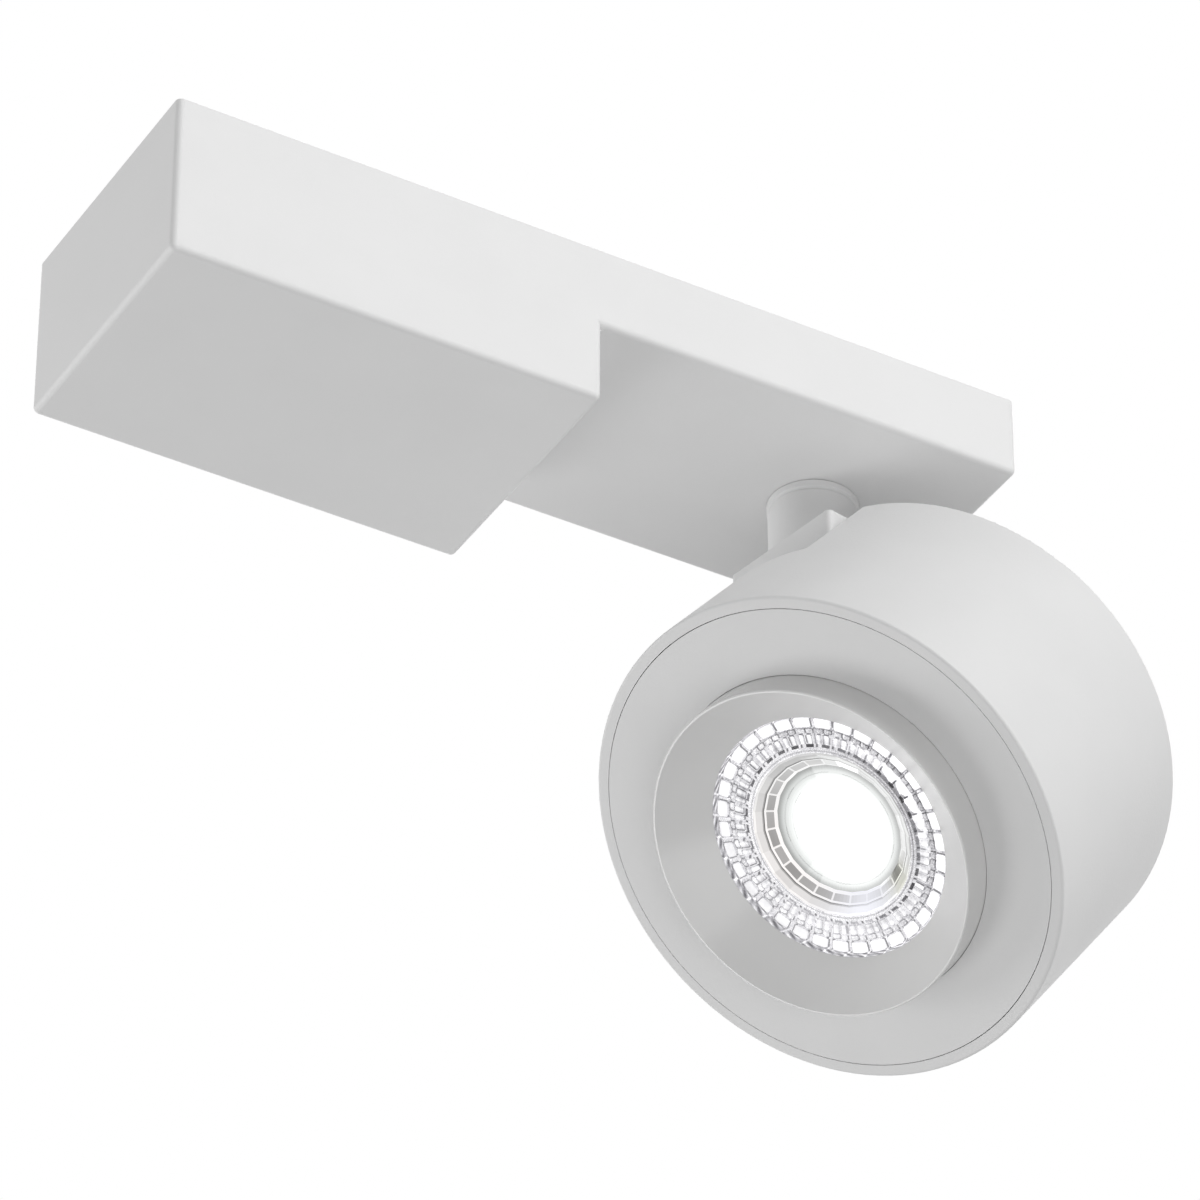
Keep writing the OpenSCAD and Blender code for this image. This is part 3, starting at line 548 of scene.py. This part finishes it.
# %% Ring of prisms: roofs and bars
def roof_tone(f):
    """Two small roof prisms for each facet, over a darker line."""
    roof = np.minimum(cushion(f, 0.27, 0.19, 0.861, 0.019), cushion(f, 0.72, 0.20, 0.859, 0.020))
    roofs = outlined(roof, 0.88 + 0.10 * f.other, 0.54, 0.84, 1.0)
    uneven = 0.13 * f.mottle * (1 - 0.5 * f.cool_side)
    line = 0.12 * band(f.share, 0.872, 0.884) * (1 - f.cool_side)
    return roofs + uneven - line - 0.13 * f.near + 0.04 * f.far + 0.06 * f.cool_side


def bar_tone(f):
    """Two long bars for each facet. On the far side a dark square sits beside them, and on the
    near side they flare up."""
    bar = np.minimum(cushion(f, 0.25 + 0.02 * f.odd, 0.15, 0.790, 0.040),
                     cushion(f, 0.66, 0.19 + 0.02 * f.odd, 0.792, 0.038))
    shadow = 0.16 * band(f.share, 0.765, 0.79, 0.03) * (0.6 + 0.4 * f.odd)
    slant = 0.09 * np.sin(2 * np.pi * (f.across * 2 - 0.1))
    shine = 0.91 + 0.04 * f.cool_side - shadow + slant
    bars = outlined(bar, shine, 0.50 + 0.28 * f.cool_side, 0.90, 0.9) + 0.06 * f.mottle
    square = cushion(f, 0.94, 0.07, 0.786, 0.012) < 1.2
    seam = band(f.edge, 0.86, 2, 0.1) * f.odd ** 2
    bars = bars - 0.42 * f.far * square - 0.30 * (1 - f.far) * (1 - f.nearest) * seam
    cut = band(f.edge, 0.90, 2, 0.1) * band(f.share, 0.75, 0.80, 0.02)
    flare = 1.07 + 0.06 * f.mottle - 0.60 * cut
    return bars * (1 - f.nearest) + flare * f.nearest


# %% [markdown]
# ## Pits and foot
# Where a bar ends the lens shows the black between the light source and its holder. The foot
# next to the bowl is finely broken and shows no form of its own, so it is mottled.

# %% Ring of prisms: pits and foot
def pit_tone(f):
    """A dark pit at each bar's foot, and dark triangles in its place on the near side."""
    dark = 0.36 + 0.20 * f.far + 0.34 * f.cool_side + 0.10 * f.odd + 0.10 * f.mottle
    pale = 0.93 - 0.5 * band(f.edge, 0.86, 0.97, 0.05)
    pit = np.where(np.abs(f.across - 0.55) < 0.27, dark, pale)
    triangles = np.where(f.edge > 0.60, 0.40 + 0.12 * f.mottle, 0.90 + 0.08 * f.mottle)
    return pit * (1 - f.nearest) + triangles * f.nearest


def foot_tone(f):
    """The mottled foot, with a dark and a bright line where it meets the bowl."""
    return (0.86 + 0.13 * f.mottle - 0.16 * f.near - 0.16 * band(f.share, 0.688, 0.70, 0.005)
            + 0.14 * band(f.share, RING_IN, 0.686, 0.003))


# %% [markdown]
# ## The zones together
# Each zone fades into the next over a few hundredths of a millimetre, so no face is caught
# between two. The zones could simply be stacked, but that looks too regular. A wedge of painted
# shade at the feet of the near bars and a slow wave over all break that regularity.
# The ring's back is hidden, so it gets one middle tone.

# %% Ring of prisms: brightness
def ring_tone(f):
    """Brightness of the ring: the zones side by side, with a shaded wedge at the feet of the
    near bars and a slow wave over all."""
    rim_from = BLOCKS_OUT - 0.016 * f.far
    level = (rim_tone(f, rim_from) * step(f.share, rim_from, 0.002)
             + block_tone(f) * band(f.share, BLOCKS_IN, rim_from, 0.002)
             + roof_tone(f) * band(f.share, ROOFS_IN, BLOCKS_IN, 0.003)
             + bar_tone(f) * band(f.share, BARS_IN, ROOFS_IN, 0.003)
             + pit_tone(f) * band(f.share, PIT_IN, BARS_IN, 0.003)
             + foot_tone(f) * (1 - step(f.share, PIT_IN, 0.003)))
    # A wedge of painted shade at the feet of the near bars.
    low_side = np.where(np.degrees(f.angle) < 92, 0.1, 0.9)
    slope = 0.05 * np.clip(1 - 1.5 * np.abs(f.across - low_side), 0, 1)
    wedge = band(f.share, 0.712, 0.735 + slope, 0.008) * f.nearest
    wave = 0.03 * np.sin(f.number * 3.7 + f.share * 40)
    return np.clip(level * (1 - 0.36 * wedge) * (1 + wave), 0.2, 1.25)


BACK_TONE = 0.5
SLIGHTLY_COOL = np.array([0.99, 0.985, 1.0])
# Lavender in the half tones: painted colour of the light that the lens shows.
LAVENDER = np.array([0.0, -0.012, 0.054])

face_share, face_turns = np.meshgrid(between(ring_share)[:-1], ring_turns + 0.5 / COLUMNS,
                                     indexing="ij")
front_tones = ring_tone(facets_at(face_share, face_turns)) ** SCREEN
back_tones = np.full((len(all_share) - len(front_tones), len(ring_turns)), BACK_TONE)
ring_grey = np.concatenate([front_tones, back_tones]).reshape(-1, 1)
half_tone = np.clip(1 - ring_grey, 0, 1) * ring_grey
ring_tones = np.clip(ring_grey * SLIGHTLY_COOL + half_tone * LAVENDER, 0, 1.7) / SENDS_OUT
print("mean tone of the ring's front:", round(float(front_tones.mean()), 3))
lens_ring = faceted_piece("lens_prism_ring", ring_points, ring_faces(*all_share.shape),
                          ring_tones, lit_acrylic)
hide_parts("lens")

# %% [markdown]
# ## The bowl
# Inside the prisms the lens sinks in flat steps with 24 sides: a pale cone, a dark groove, a
# band of flat trapezoids with bright seams, and a last pale rim. A lathe would make it round,
# and the flats are what shows. A regular polygon's radius is its flat's distance over the cosine
# of the angle from the flat's middle, which puts every step's corners on the same 24 directions.

# %% Bowl: relief
CONE_IN, GROOVE_IN, WHITE_IN, FLATS_IN, BOWL_IN = 0.619, 0.609, 0.599, 0.548, 0.530
FLAT_CUTS = np.array([0.0, 0.055, 0.2, 0.4, 0.6, 0.8, 0.945])

bowl_levels = np.array([
    (RING_IN, 1.90), (0.671, 1.96), (0.662, 2.10), (0.640, 2.50), (0.622, 2.86), (0.616, 3.05),
    (0.609, 3.15), (0.603, 3.30), (0.598, 3.45), (0.573, 3.87), (0.549, 4.28), (0.543, 4.45),
    (BOWL_IN, 4.78), (BOWL_IN, 6.40), (0.620, 4.90), (RING_IN, 3.40)])
bowl_turns = (np.arange(BOWL_FACETS)[:, None] + FLAT_CUTS).ravel()
bowl_angles = bowl_turns * 2 * np.pi / BOWL_FACETS
from_flat = (bowl_turns % 1.0 - 0.5) * 2 * np.pi / BOWL_FACETS
polygon = np.cos(np.pi / BOWL_FACETS) / np.cos(from_flat)


def polygon_rings(levels):
    """Rings of points with 24 flats each, one ring for each pair of a radius and a depth."""
    radius = levels[:, :1] * LENS_R * polygon
    return on_head(radius * np.cos(bowl_angles), radius * np.sin(bowl_angles),
                   levels[:, 1:]).reshape(-1, 3)


bowl_points = polygon_rings(bowl_levels)
print("bowl, rows and columns:", len(bowl_levels), len(bowl_turns))

# %% Bowl: brightness
def bowl_tone(share, turn, angle):
    """Brightness of the bowl: each step has its own level, bells round a direction lighten or
    darken it, and the seams between the flats are bright."""
    across, number = turn % 1.0, np.floor(turn)
    seam_line = band(np.abs(2 * across - 1), 0.91, 2, 0.01)
    # The bells round a direction are painted light and shade, lighter or darker on each side.
    near, far = towards(angle, 95, 62), towards(angle, 275, 60)
    right_side, lavender = towards(angle, 5, 30), towards(angle, 198, 24)
    ahead = towards(angle, 157, 9)
    odd = 0.02 * np.sin(number * 2.9)

    cone = 0.84 - 0.16 * near + 0.12 * lavender + 0.02 * far - 0.08 * right_side + odd
    cone = cone + 0.10 * band(share, 0.664, 2, 0.004) * (1 - near)
    groove = 0.46 + 0.34 * lavender + 0.24 * near - 0.04 * far
    white = 0.97 - 0.20 * near - 0.06 * right_side
    flats = (0.72 + 0.18 * lavender - 0.11 * far - 0.26 * ahead + 0.10 * near
             + 0.06 * right_side + odd)
    flats = flats * (1 - seam_line) + (0.93 - 0.15 * near) * seam_line
    rim = 0.97 - 0.13 * near - 0.5 * ahead
    notch = band(np.degrees(angle), 43, 60, 2) * band(share, 0.5, 0.61)
    return (cone * step(share, CONE_IN, 0.002)
            + groove * band(share, GROOVE_IN, CONE_IN, 0.002)
            + white * band(share, WHITE_IN, GROOVE_IN, 0.002)
            + flats * band(share, FLATS_IN, WHITE_IN, 0.002)
            + rim * (1 - step(share, FLATS_IN, 0.002)) + 0.35 * notch)


face_turns = (bowl_turns + np.append(bowl_turns[1:], BOWL_FACETS)) / 2
face_share, face_turns = np.meshgrid(between(bowl_levels[:, 0]), face_turns, indexing="ij")
face_angles = face_turns * 2 * np.pi / BOWL_FACETS
bowl_grey = np.clip(bowl_tone(face_share, face_turns, face_angles), 0.2, 1.05) ** SCREEN
# Tints round a direction: painted colour of the light that the lens shows on each side.
tints = [(275, 55, (0.03, -0.005, -0.02)), (196, 30, (-0.03, -0.02, 0.05)),
         (157, 12, (0.02, 0.02, -0.10))]
bowl_tint = 1 + sum(towards(face_angles, middle, spread_by).reshape(-1, 1) * np.array(tint)
                    for middle, spread_by, tint in tints)
faceted_piece("lens_bowl", bowl_points, ring_faces(len(bowl_levels), len(bowl_turns)),
              bowl_grey.reshape(-1, 1) * bowl_tint / SENDS_OUT, lit_acrylic)

# %% [markdown]
# ## The middle of the lens
# The bowl ends in a shallow dish, and the lamp's bright spot fills it. A plain glowing disc
# would nearly do, because it is white almost all over. What tells the real one from a disc is
# its darker edge, two faint polygon lines and a touch of green from the thick acrylic, so those
# are cut as rows of their own.

# %% Middle of the lens: relief
DISH_DEPTH, DISH_SWELL, MIDDLE_BACK = 5.4, 0.62, 6.40
OUTER_LINE, INNER_LINE = (0.463, 0.470), (0.396, 0.404)


def dome_faces(rows, columns):
    """Faces of a grid of rings that is closed round, with a fan to a pole at each end. The
    poles are the two last points."""
    row, column = np.meshgrid(np.arange(rows - 1), np.arange(columns), indexing="ij")
    beside = (column + 1) % columns
    a, b = row * columns + column, (row + 1) * columns + column
    c, d = (row + 1) * columns + beside, row * columns + beside
    upper = np.stack([a, b, c], -1).reshape(-1, 3)
    lower = np.stack([a, c, d], -1).reshape(-1, 3)
    ring, last = np.arange(columns), (rows - 1) * columns
    following = (ring + 1) % columns
    first_pole, last_pole = (np.full(columns, rows * columns + k) for k in (0, 1))
    top = np.stack([first_pole, ring, following], -1)
    bottom = np.stack([last_pole, last + following, last + ring], -1)
    return np.concatenate([upper, lower, top, bottom])


dish_share = np.array([0.10, 0.25, 0.36, *INNER_LINE, 0.42, 0.44, 0.455, *OUTER_LINE, 0.480,
                       0.490, 0.500, 0.510, 0.520, BOWL_IN])
dish_depth = DISH_DEPTH - DISH_SWELL * (dish_share / BOWL_IN) ** 2
middle_levels = np.concatenate([np.c_[dish_share, dish_depth],
                                [(BOWL_IN, MIDDLE_BACK), (0.20, MIDDLE_BACK)]])
poles = on_head(0.0, 0.0, np.array([DISH_DEPTH, MIDDLE_BACK]))
middle_points = np.concatenate([polygon_rings(middle_levels), poles])
middle_faces = dome_faces(len(middle_levels), len(bowl_turns))
print("middle of the lens, rings and faces:", len(middle_levels), len(middle_faces))

# %% Middle of the lens: brightness
FAINT_GREEN = np.array([0.975, 1.0, 0.985])

local = (middle_points[middle_faces].mean(axis=1) - poles[0]) @ head_axes.T / (LENS_R * MM)
away = np.hypot(local[:, 0], local[:, 1])
angle = np.arctan2(local[:, 1], local[:, 0])
uneven = 0.9 + 0.6 * np.sin(np.floor(angle * BOWL_FACETS / 2 / np.pi) * 2.3)
glow = (1.02 + 0.42 * (1 - step(away, 0.375, 0.05)) - 0.17 * step(away, 0.44, 0.10)
        - 0.20 * step(away, 0.500, 0.05) + 0.06 * towards(angle, 196, 40)
        - 0.05 * towards(angle, 100, 60) * step(away, 0.47, 0.05)
        - 0.12 * uneven * band(away, *OUTER_LINE) - 0.10 * uneven * band(away, *INNER_LINE))
faceted_piece("lens_middle", middle_points, middle_faces,
              glow[:, None] ** SCREEN * FAINT_GREEN / SENDS_OUT, lit_acrylic)

# %% [markdown]
# ## Studio light
# The object was photographed in an even white room with a few soft lamps: a key lamp from the
# camera's right and above, a large one beside the camera, two from the left that pick out the
# drum's rim, and a large weak one from behind. Walls and soft boxes could be built for it. The
# world does the even part without them: what a camera or a mirror sees of it is plain white,
# and what it gives as light is weaker, so white paint stays below pure white.

# %% World
SOFT_LIGHT, WHITE_SHEET = 0.385, 1.0


def larger(tree, first, second):
    """The larger of two values."""
    node = tree.nodes.new("ShaderNodeMath")
    node.operation = "MAXIMUM"
    tree.links.new(first, node.inputs[0])
    tree.links.new(second, node.inputs[1])
    return node.outputs[0]


def mixed(tree, share, first, second):
    """Two shaders mixed, by the share that the second has."""
    node = tree.nodes.new("ShaderNodeMixShader")
    tree.links.new(share, node.inputs["Fac"])
    tree.links.new(first, node.inputs[1])
    tree.links.new(second, node.inputs[2])
    return node.outputs["Shader"]


world = bpy.data.worlds.new("studio")
bpy.context.scene.world = world
world.use_nodes = True
sky = world.node_tree
sky.nodes.clear()
soft_light, white_sheet = (
    settle(sky.nodes.new("ShaderNodeBackground"), Color=(1, 1, 1, 1), Strength=strength)
    for strength in (SOFT_LIGHT, WHITE_SHEET))
path = sky.nodes.new("ShaderNodeLightPath").outputs
seen = larger(sky, path["Is Camera Ray"], path["Is Glossy Ray"])
seen = larger(sky, seen, path["Is Transmission Ray"])
sky_out = sky.nodes.new("ShaderNodeOutputWorld")
sky.links.new(mixed(sky, seen, soft_light.outputs[0], white_sheet.outputs[0]),
              sky_out.inputs["Surface"])
print("the world gives", SOFT_LIGHT, "and is seen as", WHITE_SHEET)

# %% [markdown]
# ## Lamps
# A soft box is a bright square, so each lamp is a square area light, and the camera doesn't see
# it. Small ones keep an edge crisp, and large ones fill. A direction, a size and a power say all
# there is to each, since all of them look at the object's middle from the same distance.

# %% Lamps
LAMP_AWAY = 1.6
OBJECT_MIDDLE = Vector((0.02, 0.0, -0.05))


def area_lamp(name, direction, size, power):
    """A square soft lamp that looks at the object's middle from a direction. The size is in
    metres and the power in watts."""
    light = bpy.data.lights.new(name, "AREA")
    light.shape = "SQUARE"
    light.size = size
    light.energy = power
    lamp = bpy.data.objects.new(name, light)
    bpy.context.scene.collection.objects.link(lamp)
    way = Vector(direction).normalized()
    lamp.location = OBJECT_MIDDLE + way * LAMP_AWAY
    lamp.visible_camera = False
    lamp.rotation_mode = "QUATERNION"
    lamp.rotation_quaternion = way.to_track_quat("Z", "Y")


area_lamp("key_lamp", (0.3, -1.0, 0.6), size=0.6, power=13.0)
area_lamp("low_lamp", (0.0, -1.0, -1.0), size=1.2, power=6.8)
area_lamp("edge_lamp", (-1.0, 1.0, -1.0), size=0.6, power=4.5)
area_lamp("side_lamp", (-1.0, 1.0, 0.0), size=0.6, power=7.0)
area_lamp("far_lamp", (1.0, 1.0, 0.3), size=1.2, power=3.5)
print("lamps, W:", {light.name: round(light.energy, 1) for light in bpy.data.lights})

# %% [markdown]
# ## The floor
# A pale sheet lies far below, where the camera of the photograph doesn't see it. It could be
# left out, but views from above look at it. Plain white paint would turn grey there, because the
# lamps hardly reach it, so most of what a camera sees of it is a fixed pale tone.

# %% Floor
FLOOR_AT, FLOOR_HALF = -2.2, 3.0
FIXED_TONE, FIXED_SHARE = 0.93, 0.8

floor_corners = [(x * FLOOR_HALF, y * FLOOR_HALF, FLOOR_AT)
                 for x, y in ((-1, -1), (1, -1), (1, 1), (-1, 1))]
floor_mesh = bpy.data.meshes.new("floor")
floor_mesh.from_pydata(floor_corners, [], [(0, 1, 2, 3)])
floor = bpy.data.objects.new("floor", floor_mesh)
bpy.context.scene.collection.objects.link(floor)

pale_floor, tree, shader = new_material("pale_floor")
settle(shader, Roughness=0.9)
colour(tree, shader, 3, grey(0.78), grey(0.82))
paper = settle(tree.nodes.new("ShaderNodeEmission"), Color=(*grey(FIXED_TONE), 1))
part_seen = tree.nodes.new("ShaderNodeMath")
part_seen.operation = "MULTIPLY"
part_seen.inputs[1].default_value = FIXED_SHARE
camera_ray = tree.nodes.new("ShaderNodeLightPath").outputs["Is Camera Ray"]
tree.links.new(camera_ray, part_seen.inputs[0])
tree.links.new(mixed(tree, part_seen.outputs[0], shader.outputs["BSDF"], paper.outputs["Emission"]),
               tree.nodes["Material Output"].inputs["Surface"])
floor_mesh.materials.append(pale_floor)
print("floor below the ceiling, m:", -FLOOR_AT)

bpy.context.scene.view_settings.view_transform = "Standard"
